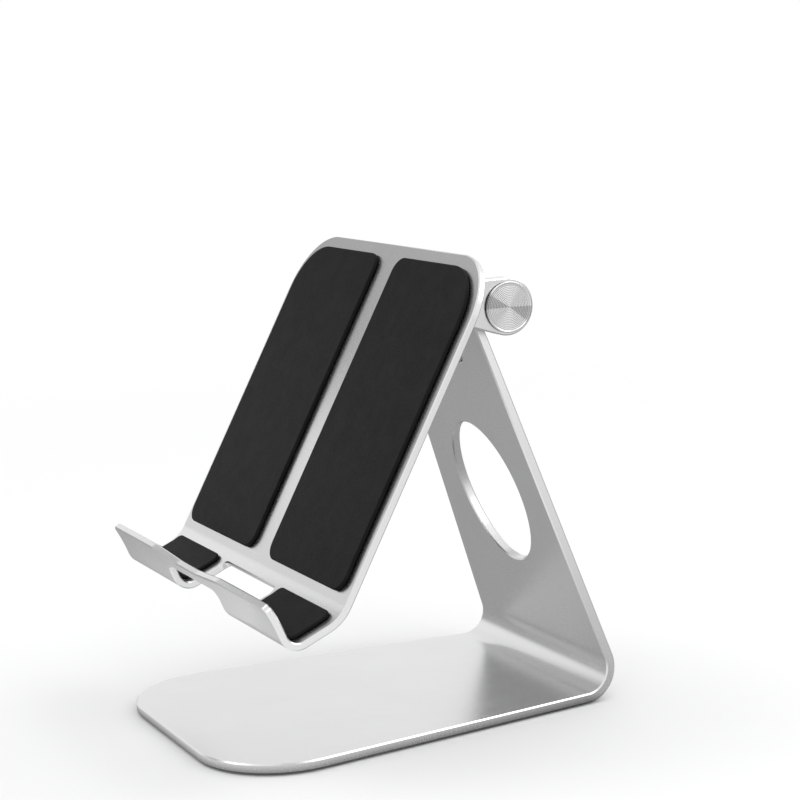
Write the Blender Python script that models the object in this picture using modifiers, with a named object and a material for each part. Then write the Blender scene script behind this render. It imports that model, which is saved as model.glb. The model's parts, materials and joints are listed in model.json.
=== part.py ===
"""Adjustable tablet stand: a folded aluminium base and upright, a friction hinge and a hooked tray.

Metres, +Z up. The stand faces -Y, X runs across it, and its mirror plane is X = 0. The origin is on the
floor under the middle of the stand's box. The tray turns about HINGE, a line along X.
"""

from math import acos, cos, pi, radians, sin, tan

import bmesh
import bpy
from mathutils import Matrix, Vector

MM = 0.001
GAP = 0.3 * MM                # left between pieces that touch

# The base and the upright: one sheet, folded once
SHEET = 3.6 * MM
FRONT_HALF_WIDTH = 65.5 * MM
TAPER = 0.097                 # how much each half-width loses per metre towards the upright's top
BASE_FLAT = 148.7 * MM        # from the front edge to the fold
FOLD_RADIUS = 9.0 * MM        # on the inside of the fold
LEAN = radians(18.4)          # how far the upright leans forwards
FRONT_CORNER = 32.0 * MM
TOP_CORNER = 6.0 * MM
FLOOR_GAP = 0.8 * MM          # the feet hold the base this far off the table
EDGE = 0.5 * MM               # the diamond-cut chamfer on the sheets' edges
SMOOTH_BELOW = radians(25)    # faces that meet at less than this are shaded as one surface
FOLD_STEP = radians(11)       # a fold is made of flats that turn by about this much

# The hole in the upright that a charging lead passes through
HOLE_HEIGHT = 61.9 * MM       # its centre, up the upright from the fold
HOLE_HALF_TALL = 29.6 * MM
HOLE_HALF_WIDE = 24.6 * MM

# The hinge
HINGE_UP = 139.4 * MM         # up the upright from the fold
HINGE_BEHIND = 11.7 * MM      # behind the upright's front face
UPRIGHT_ABOVE = 4.0 * MM      # the upright's top edge, past the hinge line
BARREL_RADIUS = 7.8 * MM
BARREL_HALF = 36.0 * MM
BARREL_BORE = 4.4 * MM
LEAF_LENGTH = 27.0 * MM       # from the hinge line down the upright's rear face
LEAF_THICK = 4.2 * MM
LEAF_HALF = 21.0 * MM
EAR_RADIUS = 10.5 * MM
EAR_INNER = 37.4 * MM
EAR_OUTER = 44.0 * MM
EAR_LOWER_EDGE = radians(-11)     # from square to the tray
EAR_UPPER_EDGE = radians(-29.5)
RECESS_RADIUS = 8.0 * MM      # in each ear's outer face, for the bolt's head or nut
RECESS_FLOOR = 39.6 * MM
FLANGE_THICK = 3.6 * MM
FLANGE_LOW, FLANGE_HIGH = -26 * MM, 3 * MM
TRAY_TILT = radians(29.5)     # at rest, back from the vertical
TRAY_BEHIND = 27.0 * MM       # from the hinge line to the tray's rear face

# The tray: one sheet, folded into a ledge and a hooked lip
TRAY_SHEET = 2.7 * MM
TRAY_HALF_WIDTH = 77.7 * MM
TRAY_ABOVE = 8.0 * MM         # the tray's top edge, past the hinge line
TRAY_BELOW = 120.8 * MM       # the start of the ledge's bend, below the hinge line
TRAY_CORNER = 24.0 * MM
LEDGE_RADIUS, LEDGE_TURN = 15.75 * MM, radians(38)
LEDGE_FLAT = 9.6 * MM
HOOK_RADIUS, HOOK_TURN = 5.75 * MM, radians(91.3)
LIP_FLAT = 2.0 * MM
CURL_RADIUS, CURL_TURN = 60 * MM, radians(10.8)
LIP_CORNER = 2.5 * MM
LIP_DIP = 2.4 * MM            # how much lower the lip is between its two hooks
DIP_INNER, DIP_OUTER = 10 * MM, 33 * MM
DIP_ROUND = 30.0 * MM
SLOT_HALF_WIDTH = 25.0 * MM
SLOT_IN_LIP = 6.6 * MM        # from the tip of the lip to the slot's front edge
SLOT_LENGTH = 30.0 * MM       # along the folded sheet, through the hook into the ledge
SLOT_CORNER = 3.5 * MM

# Silicone pads
PAD_THICK = 1.5 * MM
PAD_INSET = 5.0 * MM          # from the tray's side edges
PAD_SPLIT = 8.0 * MM          # half of the gap between the two back pads
PAD_CORNER = 6.0 * MM
PAD_EDGE = 0.25 * MM
PAD_ENDS_ABOVE = 3.0 * MM     # the back pads end above the ledge's bend
PAD_TO_HOOK_PAD = 8.0 * MM
HOOK_PAD_FROM_TIP = 3.2 * MM
HOOK_PAD_THICK = 1.2 * MM
HOOK_PAD_CORNER = 3.0 * MM
FOOT_RADIUS = 8.0 * MM
FOOT_RECESS = 0.8 * MM        # how deep the feet sit in the base's underside
FOOT_BEVEL = 0.3 * MM
FOOT_ROWS = {                 # from the base's front edge, and in from its side edge
    "front": (26 * MM, 21 * MM),
    "rear": (BASE_FLAT - 16 * MM, 15 * MM),
}

# Turned hardware
BOLT_RADIUS = 2.9 * MM
BOLT_HEAD_RADIUS = 5.2 * MM
BOLT_ROOM = 0.2 * MM          # between the bolt and what it passes through
BUSH_LENGTH = 12.0 * MM
CAP_RADIUS = 9.3 * MM
CAP_FACE = 45.4 * MM          # how far out the caps reach
CAP_DEPTH = 2.0 * MM
CAP_RIM = 0.7 * MM
CAP_DISH = 0.25 * MM
BOLT_HEAD_THICK = 1.5 * MM
BOLT_SOCKET = 1.6 * MM
NUT_THICK = 1.3 * MM
BUSH_ROOM = 0.12 * MM
RUN_GAP = 0.25 * MM           # between turning faces
WASHER_RADIUS = 7.2 * MM
SPRING_RADIUS = 6.2 * MM
SPRING_THICK = 0.5 * MM
SPRING_CONE = 0.3 * MM
SCREW_RADIUS = 1.6 * MM
SCREW_HEAD = 3.2 * MM
SCREW_ROOM = 0.2 * MM         # between a screw's shank and its hole
SCREW_SUNK = 0.2 * MM         # the heads sit this far below the sheet's face
SOCKET_DEPTH, SOCKET_RADIUS = 1.4 * MM, 1.0 * MM
LEAF_SCREW_LENGTH = 7.4 * MM
TRAY_SCREW_LENGTH = 6.0 * MM
LEAF_SCREWS = (-13 * MM, 0, 13 * MM)
LEAF_SCREW_DOWN = 17.0 * MM   # from the hinge line, down the upright
TRAY_SCREW_X = 30 * MM
TRAY_SCREW_ROWS = (-20 * MM, -2 * MM)     # above the hinge line, along the tray

BASE_REAR = FOLD_RADIUS + SHEET
FOLD_Y = (BASE_FLAT - BASE_REAR) / 2
BASE_TOP = FLOOR_GAP + SHEET
FOLD_TURN = pi / 2 + LEAN
FOLD_MID = FOLD_RADIUS + SHEET / 2

UP = Vector((0, -sin(LEAN), cos(LEAN)))           # up the upright
BACK = Vector((0, cos(LEAN), sin(LEAN)))          # out of the upright's rear face
FOLD_CENTRE = Vector((0, FOLD_Y, BASE_TOP + FOLD_RADIUS))
HINGE = FOLD_CENTRE + BACK * (FOLD_RADIUS + HINGE_BEHIND) + UP * HINGE_UP
RISE = Vector((0, sin(TRAY_TILT), cos(TRAY_TILT)))     # up the tray
FACE = Vector((0, -cos(TRAY_TILT), sin(TRAY_TILT)))    # out of the tray's front face
TRAY_MID = TRAY_BEHIND + TRAY_SHEET / 2


def clear_scene():
    for obj in list(bpy.data.objects):
        bpy.data.objects.remove(obj)


def new_collection(name):
    collection = bpy.data.collections.new(name)
    bpy.context.scene.collection.children.link(collection)
    return collection


def material(name, colour, roughness, metallic):
    made = bpy.data.materials.new(name)
    made.use_nodes = True
    shader = made.node_tree.nodes["Principled BSDF"]
    shader.inputs["Base Color"].default_value = (*colour, 1)
    shader.inputs["Roughness"].default_value = roughness
    shader.inputs["Metallic"].default_value = metallic
    return made


def add_piece(name, mesh, finish, where=None):
    """A piece of the stand: one object, one node."""
    mesh.name = name
    mesh.materials.clear()
    mesh.materials.append(finish)
    mesh.shade_smooth()
    mesh.set_sharp_from_angle(angle=SMOOTH_BELOW)
    piece = bpy.data.objects.new(name, mesh)
    if where is not None:
        piece.matrix_world = where
    stand.objects.link(piece)
    return piece


def cut(piece, mesh, where=None):
    """Takes a closed mesh away from a piece."""
    cutter = bpy.data.objects.new(f"{piece.name}_cutter", mesh)
    if where is not None:
        cutter.matrix_world = where
    cutter.hide_render = True
    cutter.display_type = "WIRE"
    cutters.objects.link(cutter)
    boolean = piece.modifiers.new("cut", "BOOLEAN")
    boolean.operation = "DIFFERENCE"
    boolean.object = cutter


def join(piece, mesh, where):
    """Adds a closed mesh to a piece."""
    cut(piece, mesh, where)
    piece.modifiers[-1].operation = "UNION"


def rounded(corners, steps=8):
    """A closed outline through (x, y, radius) corners, each rounded to its radius."""
    points = []
    for i, (x, y, radius) in enumerate(corners):
        here = Vector((x, y))
        before = (Vector(corners[i - 1][:2]) - here).normalized()
        after = (Vector(corners[(i + 1) % len(corners)][:2]) - here).normalized()
        half = acos(max(-1, min(1, before.dot(after)))) / 2
        if radius == 0:
            points.append(here)
            continue
        middle = (before + after).normalized()
        centre = here + middle * (radius / sin(half))
        start = here + before * (radius / tan(half)) - centre
        end = here + after * (radius / tan(half)) - centre
        turn = start.angle_signed(end)
        count = max(2, round(steps * abs(turn) / (pi / 2)))
        for k in range(count + 1):
            angle = -turn * k / count
            points.append(centre + Matrix.Rotation(angle, 2) @ start)
    return points


def ellipse(centre_y, half_wide, half_tall, steps=40):
    return [
        Vector((half_wide * cos(2 * pi * k / steps), centre_y + half_tall * sin(2 * pi * k / steps)))
        for k in range(steps)
    ]


def arc(radius, start, end, steps):
    """Points round the origin from one angle to another."""
    angles = [start + (end - start) * k / steps for k in range(steps + 1)]
    return [Vector((radius * cos(angle), radius * sin(angle))) for angle in angles]


def plate_mesh(outlines, thickness, chamfer=0.0):
    """A flat plate about z = 0 from an outline and the holes in it, with chamfered edges."""
    curve = bpy.data.curves.new("outline", "CURVE")
    curve.dimensions = "2D"
    curve.fill_mode = "BOTH"
    curve.extrude = thickness / 2 - chamfer
    curve.bevel_depth = chamfer
    curve.bevel_resolution = 0
    curve.offset = -chamfer
    for outline in outlines:
        area = sum(a.x * b.y - b.x * a.y for a, b in zip(outline, outline[1:] + outline[:1]))
        if area < 0:
            outline = outline[::-1]
        spline = curve.splines.new("POLY")
        spline.points.add(len(outline) - 1)
        for point, place in zip(spline.points, outline):
            point.co = (place.x, place.y, 0, 1)
        spline.use_cyclic_u = True
    guide = bpy.data.objects.new("outline", curve)
    stand.objects.link(guide)
    graph = bpy.context.evaluated_depsgraph_get()
    mesh = bpy.data.meshes.new_from_object(guide.evaluated_get(graph))
    bpy.data.objects.remove(guide)
    work = bmesh.new()
    work.from_mesh(mesh)
    bmesh.ops.remove_doubles(work, verts=work.verts, dist=1e-7)
    face_outwards(work)
    work.to_mesh(mesh)
    work.free()
    return mesh


def face_outwards(work):
    bmesh.ops.recalc_face_normals(work, faces=work.faces)
    if work.calc_volume(signed=True) < 0:
        bmesh.ops.reverse_faces(work, faces=work.faces)


def folded(mesh, start, heading, runs):
    """Folds a flat plate along Y. runs holds (length, turn) pairs; a run that turns is an arc.

    The plate's y becomes the distance along the path, its x stays, and its z goes to the path's left.
    """
    path, place, angle, reached = [], start.copy(), heading, 0.0
    for length, turn in runs:
        path.append((reached, length, turn, place.copy(), angle))
        along = Vector((0, cos(angle + turn / 2), sin(angle + turn / 2)))
        place += along * (length if turn == 0 else 2 * length / turn * sin(turn / 2))
        angle += turn
        reached += length
    work = bmesh.new()
    work.from_mesh(mesh)
    for first, length, turn, _, _ in path[1:]:
        pieces = max(1, round(abs(turn) / FOLD_STEP))
        for k in range(pieces):
            everything = work.verts[:] + work.edges[:] + work.faces[:]
            station = Vector((0, first + length * k / pieces, 0))
            bmesh.ops.bisect_plane(work, geom=everything, plane_co=station, plane_no=(0, 1, 0),
                                   dist=1e-7)
    for vert in work.verts:
        x, distance, height = vert.co
        begun = [run for run in path if run[0] <= distance + 1e-7]
        first, length, turn, place, angle = begun[-1] if begun else path[0]
        share = (distance - first) / length
        swept = turn * share
        along = Vector((0, cos(angle + swept / 2), sin(angle + swept / 2)))
        chord = (distance - first) if turn == 0 else 2 * length / turn * sin(swept / 2)
        left = Vector((0, -sin(angle + swept), cos(angle + swept)))
        vert.co = place + along * chord + left * height + Vector((x, 0, 0))
    face_outwards(work)
    work.to_mesh(mesh)
    work.free()
    return mesh


def turned_piece(name, profile, finish, where, steps=24):
    """A turned piece about local X from (x, radius) points, given from one end to the other."""
    mesh = bpy.data.meshes.new(name)
    work = bmesh.new()
    verts = [work.verts.new((x, 0, radius)) for x, radius in profile]
    for first, second in zip(verts, verts[1:]):
        work.edges.new((first, second))
    if profile[0][1] > 1e-6:
        work.edges.new((verts[-1], verts[0]))
    work.to_mesh(mesh)
    work.free()
    piece = add_piece(name, mesh, finish, where)
    screw = piece.modifiers.new("turn", "SCREW")
    screw.axis = "X"
    screw.steps = screw.render_steps = steps
    screw.use_merge_vertices = True
    screw.merge_threshold = 1e-6
    screw.use_normal_calculate = False
    screw.use_normal_flip = True
    return piece


def rod_mesh(radius, low, high, steps=24):
    """A closed cylinder along X."""
    mesh = bpy.data.meshes.new("rod")
    work = bmesh.new()
    turn = Matrix.Rotation(pi / 2, 4, "Y")
    shift = Matrix.Translation(((low + high) / 2, 0, 0))
    bmesh.ops.create_cone(work, cap_ends=True, segments=steps, radius1=radius, radius2=radius,
                          depth=high - low, matrix=shift @ turn)
    work.to_mesh(mesh)
    work.free()
    return mesh


def frame(origin, x, y, z):
    """The matrix that puts local axes along x, y and z, at origin."""
    matrix = Matrix((x, y, z)).transposed().to_4x4()
    matrix.translation = origin
    return matrix


ACROSS = Vector((1, 0, 0))
SIDES = (("left", -1), ("right", 1))


def half_width(distance):
    """Half the base sheet's width, at a distance along it from the front edge."""
    return FRONT_HALF_WIDTH - TAPER * distance


def base_bracket():
    top = BASE_FLAT + FOLD_MID * FOLD_TURN + HINGE_UP + UPRIGHT_ABOVE
    blank = rounded([
        (-half_width(0), 0, FRONT_CORNER),
        (half_width(0), 0, FRONT_CORNER),
        (half_width(top), top, TOP_CORNER),
        (-half_width(top), top, TOP_CORNER),
    ])
    hole = ellipse(BASE_FLAT + FOLD_MID * FOLD_TURN + HOLE_HEIGHT, HOLE_HALF_WIDE, HOLE_HALF_TALL)
    front_edge = Vector((0, FOLD_Y - BASE_FLAT, FLOOR_GAP + SHEET / 2))
    runs = [(BASE_FLAT, 0), (FOLD_MID * FOLD_TURN, FOLD_TURN), (HINGE_UP + UPRIGHT_ABOVE, 0)]
    mesh = folded(plate_mesh([blank, hole], SHEET, EDGE), front_edge, 0, runs)
    bracket = add_piece("base_bracket", mesh, silver)
    for x in LEAF_SCREWS:
        cut(bracket, countersink_mesh(SHEET), leaf_screw_frame(x))
    for where in foot_frames().values():
        cut(bracket, rod_mesh(FOOT_RADIUS + GAP, -MM, FLOOR_GAP + FOOT_RECESS, 28), where)


def leaf_screw_frame(x):
    """Local X runs backwards, out of the upright's front face."""
    centre = FOLD_CENTRE + BACK * FOLD_RADIUS + UP * (HINGE_UP - LEAF_SCREW_DOWN) + ACROSS * x
    return frame(centre, BACK, ACROSS, BACK.cross(ACROSS))


def countersink_mesh(sheet):
    """The countersunk hole that a screw needs in a sheet, along +X from the sheet's face."""
    head, shank = SCREW_HEAD + GAP, SCREW_RADIUS + GAP
    profile = [(-MM, head), (SCREW_SUNK, head), (SCREW_SUNK + head - shank, shank), (sheet + MM, shank)]
    mesh = bpy.data.meshes.new("countersink")
    work = bmesh.new()
    steps = 20
    turns = [2 * pi * k / steps for k in range(steps)]
    rings = [[work.verts.new((x, r * cos(turn), r * sin(turn))) for turn in turns] for x, r in profile]
    for first, second in zip(rings, rings[1:]):
        for k in range(steps):
            work.faces.new((first[k], first[k - 1], second[k - 1], second[k]))
    work.faces.new(rings[0])
    work.faces.new(rings[-1])
    face_outwards(work)
    work.to_mesh(mesh)
    work.free()
    return mesh


def countersunk_screw(name, where, length):
    """A countersunk screw along +X, with a recess in its head, just below the face that it holds."""
    cone = SCREW_SUNK + SCREW_HEAD - SCREW_RADIUS
    tip = 0.5 * MM
    profile = [
        (SOCKET_DEPTH, 0), (SOCKET_DEPTH, SOCKET_RADIUS), (SCREW_SUNK, SOCKET_RADIUS),
        (SCREW_SUNK, SCREW_HEAD), (SCREW_SUNK + 0.2 * MM, SCREW_HEAD), (cone, SCREW_RADIUS),
        (length - tip, SCREW_RADIUS), (length, SCREW_RADIUS - tip), (length, 0),
    ]
    turned_piece(name, profile, steel, where, steps=18)


def foot_frames():
    """Each foot's frame by name, on the floor, with local X upwards."""
    frames = {}
    upwards = Vector((0, 0, 1))
    for end, (distance, inset) in FOOT_ROWS.items():
        for side, sign in SIDES:
            centre = Vector((sign * (half_width(distance) - inset), FOLD_Y - BASE_FLAT + distance, 0))
            frames[f"foot_{end}_{side}"] = frame(centre, upwards, ACROSS, upwards.cross(ACROSS))
    return frames


def feet():
    """Four round silicone feet in shallow recesses under the base."""
    top = FLOOR_GAP + FOOT_RECESS - GAP
    profile = [(0, 0), (0, FOOT_RADIUS - FOOT_BEVEL), (FOOT_BEVEL, FOOT_RADIUS), (top, FOOT_RADIUS), (top, 0)]
    for name, where in foot_frames().items():
        turned_piece(name, profile, rubber, where, steps=28)


def hinge_barrel():
    """The fixed knuckle: a barrel with a narrower leaf that is screwed to the upright's rear face."""
    leaf_front = SHEET - HINGE_BEHIND + GAP
    leaf_rear = leaf_front + LEAF_THICK
    barrel = add_piece("hinge_barrel", rod_mesh(BARREL_RADIUS, -BARREL_HALF, BARREL_HALF, 40), silver,
                       Matrix.Translation(HINGE))
    outline = [
        Vector((leaf_front, -LEAF_LENGTH)),
        Vector((leaf_rear, -LEAF_LENGTH)),
        Vector((leaf_rear, 0)),
        Vector((leaf_front, 0)),
    ]
    join(barrel, plate_mesh([outline], 2 * LEAF_HALF), frame(HINGE, BACK, UP, BACK.cross(UP)))
    cut(barrel, rod_mesh(BARREL_BORE, -BARREL_HALF - MM, BARREL_HALF + MM), Matrix.Translation(HINGE))
    for name, x in zip(("left", "middle", "right"), LEAF_SCREWS):
        where = leaf_screw_frame(x)
        cut(barrel, rod_mesh(SCREW_RADIUS + SCREW_ROOM, -MM, LEAF_SCREW_LENGTH + 4 * MM, 18), where)
        countersunk_screw(f"leaf_screw_{name}", where, LEAF_SCREW_LENGTH)


def tray_bracket():
    """The moving half of the hinge: a flange on the tray's rear face with an ear at each end."""
    flange_front = TRAY_BEHIND - GAP
    flange_rear = flange_front - FLANGE_THICK
    lower, upper = EAR_LOWER_EDGE - pi / 2, EAR_UPPER_EDGE + pi / 2
    round_end = arc(EAR_RADIUS, lower, upper - 2 * pi, 30)[::-1]

    def edge_height(point, slope):
        return point.y + (flange_rear - point.x) * tan(slope)

    outline = round_end + [
        Vector((flange_rear, edge_height(round_end[-1], EAR_LOWER_EDGE))),
        Vector((flange_rear, FLANGE_LOW)),
        Vector((flange_front, FLANGE_LOW)),
        Vector((flange_front, FLANGE_HIGH)),
        Vector((flange_rear, FLANGE_HIGH)),
        Vector((flange_rear, edge_height(round_end[0], EAR_UPPER_EDGE))),
    ]
    section = frame(HINGE, FACE, RISE, FACE.cross(RISE))
    bracket = add_piece("tray_bracket", plate_mesh([outline], 2 * EAR_OUTER), silver, section)
    reach = 2 * EAR_RADIUS
    clear = rounded([
        (-reach, -reach - EAR_RADIUS, 0),
        (flange_rear, -reach - EAR_RADIUS, 0),
        (flange_rear, reach, 0),
        (-reach, reach, 0),
    ])
    cut(bracket, plate_mesh([clear], 2 * EAR_INNER), section)
    hinge_line = Matrix.Translation(HINGE)
    cut(bracket, rod_mesh(BOLT_RADIUS + BOLT_ROOM, -EAR_OUTER - MM, EAR_OUTER + MM), hinge_line)
    for sign in (-1, 1):
        low, high = sorted((sign * RECESS_FLOOR, sign * (EAR_OUTER + MM)))
        cut(bracket, rod_mesh(RECESS_RADIUS, low, high, 32), hinge_line)
    for where in tray_screw_frames().values():
        cut(bracket, rod_mesh(SCREW_RADIUS + SCREW_ROOM, -MM, 2 * TRAY_SCREW_LENGTH, 18), where)


def tray_screw_frames():
    """The four tray screws' frames by name. Local X runs backwards from the tray's front face."""
    frames = {}
    for row, up in zip(("lower", "upper"), TRAY_SCREW_ROWS):
        for side, sign in SIDES:
            centre = HINGE + FACE * (TRAY_BEHIND + TRAY_SHEET) + RISE * up + ACROSS * sign * TRAY_SCREW_X
            frames[f"tray_screw_{row}_{side}"] = frame(centre, -FACE, ACROSS, (-FACE).cross(ACROSS))
    return frames


TRAY_TOP = HINGE + FACE * TRAY_MID + RISE * TRAY_ABOVE
TRAY_RUNS = [
    (TRAY_ABOVE + TRAY_BELOW, 0),
    (LEDGE_RADIUS * LEDGE_TURN, -LEDGE_TURN),
    (LEDGE_FLAT, 0),
    (HOOK_RADIUS * HOOK_TURN, -HOOK_TURN),
    (LIP_FLAT, 0),
    (CURL_RADIUS * CURL_TURN, CURL_TURN),
]
TRAY_LENGTH = sum(length for length, _ in TRAY_RUNS)


def tray_folded(mesh):
    """Folds a flat plate to the tray's shape. Its y runs down from the tray's top edge to the lip."""
    return folded(mesh, TRAY_TOP, -pi / 2 - TRAY_TILT, TRAY_RUNS)


def tray_plate():
    tip = TRAY_LENGTH
    dip = tip - LIP_DIP
    blank = rounded([
        (-TRAY_HALF_WIDTH, 0, TRAY_CORNER),
        (TRAY_HALF_WIDTH, 0, TRAY_CORNER),
        (TRAY_HALF_WIDTH, tip, LIP_CORNER),
        (DIP_OUTER, tip, DIP_ROUND),
        (DIP_INNER, dip, DIP_ROUND),
        (-DIP_INNER, dip, DIP_ROUND),
        (-DIP_OUTER, tip, DIP_ROUND),
        (-TRAY_HALF_WIDTH, tip, LIP_CORNER),
    ])
    slot_end = tip - SLOT_IN_LIP
    slot_start = slot_end - SLOT_LENGTH
    slot = rounded([
        (-SLOT_HALF_WIDTH, slot_start, SLOT_CORNER),
        (SLOT_HALF_WIDTH, slot_start, SLOT_CORNER),
        (SLOT_HALF_WIDTH, slot_end, SLOT_CORNER),
        (-SLOT_HALF_WIDTH, slot_end, SLOT_CORNER),
    ], 5)
    tray = add_piece("tray_plate", tray_folded(plate_mesh([blank, slot], TRAY_SHEET, EDGE)), silver)
    for name, where in tray_screw_frames().items():
        cut(tray, countersink_mesh(TRAY_SHEET), where)
        countersunk_screw(name, where, TRAY_SCREW_LENGTH)


def tray_pads():
    """Black silicone on the tray's front face and in its two hooks."""
    top, bottom = PAD_INSET, TRAY_ABOVE + TRAY_BELOW - PAD_ENDS_ABOVE
    start, end = bottom + PAD_TO_HOOK_PAD, TRAY_LENGTH - HOOK_PAD_FROM_TIP
    for side, sign in SIDES:
        inner, outer = sign * PAD_SPLIT, sign * (TRAY_HALF_WIDTH - PAD_INSET)
        pad = rounded([
            (inner, top, PAD_CORNER),
            (outer, top, TRAY_CORNER - PAD_INSET),
            (outer, bottom, PAD_CORNER),
            (inner, bottom, PAD_CORNER),
        ], 6)
        add_pad(f"back_pad_{side}", pad, PAD_THICK)
        inner = sign * (SLOT_HALF_WIDTH + PAD_INSET)
        corners = [(inner, start), (outer, start), (outer, end), (inner, end)]
        strip = rounded([(x, y, HOOK_PAD_CORNER) for x, y in corners], 4)
        add_pad(f"hook_pad_{side}", strip, HOOK_PAD_THICK)


def add_pad(name, outline, thickness):
    """A pad on the tray's front side, folded as the tray is."""
    mesh = plate_mesh([outline], thickness, PAD_EDGE)
    mesh.transform(Matrix.Translation((0, 0, -TRAY_SHEET / 2 - GAP - thickness / 2)))
    add_piece(name, tray_folded(mesh), rubber)


def hinge_side(sign):
    """The hinge line's frame, with local X towards that side of the stand."""
    return frame(HINGE, ACROSS * sign, Vector((0, sign, 0)), Vector((0, 0, 1)))


def ring(name, low, high, inner, outer, finish, sign, cone=0.0):
    """A bush or a flat or coned washer on the hinge line, from low to high on one side of the stand."""
    profile = [(low + cone, inner), (low, outer), (high, outer), (high + cone, inner)]
    turned_piece(name, profile, finish, hinge_side(sign))


def hinge_rings():
    """Nylon bushes in the barrel, nylon friction washers beside the ears, steel spring washers in them."""
    bore = BOLT_RADIUS + BOLT_ROOM
    for side, sign in SIDES:
        ring(f"hinge_bush_{side}", BARREL_HALF - BUSH_LENGTH, BARREL_HALF - RUN_GAP, BOLT_RADIUS + BUSH_ROOM,
             BARREL_BORE - RUN_GAP, nylon, sign)
        ring(f"friction_washer_{side}", BARREL_HALF + RUN_GAP, EAR_INNER - RUN_GAP, bore, WASHER_RADIUS,
             nylon, sign)
        ring(f"spring_washer_{side}", RECESS_FLOOR + GAP, RECESS_FLOOR + GAP + SPRING_THICK, bore,
             SPRING_RADIUS, steel, sign, SPRING_CONE)


def end_caps():
    """The turned caps that close the ears, each with a plug, a rounded rim and a shallow dish."""
    plug = RECESS_RADIUS - GAP
    seat = EAR_OUTER + GAP
    profile = [
        (CAP_FACE - CAP_DEPTH, 0), (CAP_FACE - CAP_DEPTH, plug), (seat, plug), (seat, CAP_RADIUS),
        (CAP_FACE - CAP_RIM / 2, CAP_RADIUS), (CAP_FACE, CAP_RADIUS - CAP_RIM / 2),
        (CAP_FACE - CAP_DISH, CAP_RADIUS - CAP_RIM), (CAP_FACE - CAP_DISH, 0),
    ]
    for side, sign in SIDES:
        turned_piece(f"end_cap_{side}", profile, silver, hinge_side(sign), 48)


def hinge_bolt():
    """One bolt through both ears, its head in the right ear and its nut in the left one."""
    seat = RECESS_FLOOR + GAP + SPRING_THICK + SPRING_CONE + GAP
    end = seat + BOLT_HEAD_THICK
    bevel = 0.3 * MM
    profile = [
        (-end, 0), (-end, BOLT_RADIUS - bevel), (bevel - end, BOLT_RADIUS), (seat, BOLT_RADIUS),
        (seat, BOLT_HEAD_RADIUS), (end - bevel, BOLT_HEAD_RADIUS), (end, BOLT_HEAD_RADIUS - bevel),
        (end, BOLT_SOCKET), (end - MM, BOLT_SOCKET), (end - MM, 0),
    ]
    turned_piece("hinge_bolt", profile, steel, hinge_side(1))
    hexagon = arc(BOLT_HEAD_RADIUS, 0, 2 * pi * 5 / 6, 5)
    bore = arc(BOLT_RADIUS + BOLT_ROOM, 0, 2 * pi * 23 / 24, 23)
    middle = HINGE - ACROSS * (seat + NUT_THICK / 2)
    where = frame(middle, Vector((0, 1, 0)), Vector((0, 0, 1)), ACROSS)
    add_piece("hinge_nut", plate_mesh([hexagon, bore], NUT_THICK), steel, where)


def parent_to_hinge():
    """Hangs everything that tilts with the tray on an empty on the hinge line."""
    pivot = bpy.data.objects.new("tray_pivot", None)
    pivot.location = HINGE
    stand.objects.link(pivot)
    fixed = ("base_", "foot_", "hinge_barrel", "leaf_", "hinge_bush")
    for piece in [*stand.objects, *cutters.objects]:
        if piece is not pivot and not piece.name.startswith(fixed):
            piece.parent = pivot
            piece.matrix_parent_inverse = Matrix.Translation(-HINGE)


clear_scene()
stand = new_collection("tablet_stand")
cutters = new_collection("cutters")
silver = material("satin_aluminium", (0.80, 0.80, 0.81), 0.35, 1.0)
steel = material("steel", (0.55, 0.55, 0.56), 0.3, 1.0)
rubber = material("silicone", (0.03, 0.03, 0.03), 0.6, 0.0)
nylon = material("nylon", (0.85, 0.84, 0.80), 0.5, 0.0)
base_bracket()
feet()
hinge_barrel()
tray_bracket()
tray_plate()
tray_pads()
hinge_rings()
end_caps()
hinge_bolt()
parent_to_hinge()
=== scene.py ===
"""Looks for the tablet stand: folded sheets, a turned hinge, blasted aluminium, silicone and a studio.

Metres, in the CAD frame. The stand faces -Y, X runs across it, and its mirror plane is X = 0.
"""

import json
from math import acos, cos, pi, radians, sin, tan

import bmesh
import bpy
from mathutils import Matrix, Vector

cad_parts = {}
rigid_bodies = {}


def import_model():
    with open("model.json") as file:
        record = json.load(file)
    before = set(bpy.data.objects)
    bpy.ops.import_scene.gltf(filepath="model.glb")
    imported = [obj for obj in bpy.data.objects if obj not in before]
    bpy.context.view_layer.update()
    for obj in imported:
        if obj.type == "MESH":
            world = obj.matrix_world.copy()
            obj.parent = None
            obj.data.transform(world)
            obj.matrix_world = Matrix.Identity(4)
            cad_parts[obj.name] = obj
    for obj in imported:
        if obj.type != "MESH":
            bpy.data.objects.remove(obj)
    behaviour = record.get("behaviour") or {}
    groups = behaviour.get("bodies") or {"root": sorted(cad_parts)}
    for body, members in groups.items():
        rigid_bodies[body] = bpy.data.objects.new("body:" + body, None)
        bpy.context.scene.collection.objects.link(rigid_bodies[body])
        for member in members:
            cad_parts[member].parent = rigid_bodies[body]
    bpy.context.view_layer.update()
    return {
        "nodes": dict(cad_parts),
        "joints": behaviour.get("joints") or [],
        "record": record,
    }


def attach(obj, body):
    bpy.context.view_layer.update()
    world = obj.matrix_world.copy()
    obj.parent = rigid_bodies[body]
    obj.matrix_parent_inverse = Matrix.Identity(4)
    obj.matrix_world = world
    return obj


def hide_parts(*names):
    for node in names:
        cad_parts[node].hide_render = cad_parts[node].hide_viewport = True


for leftover in list(bpy.data.objects):
    bpy.data.objects.remove(leftover)
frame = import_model()

MM = 0.001
GAP = 0.3 * MM
HINGE = Vector(frame["joints"][0]["pos_m"])
ACROSS = Vector((1, 0, 0))
SIDES = (("left", -1), ("right", 1))

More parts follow.
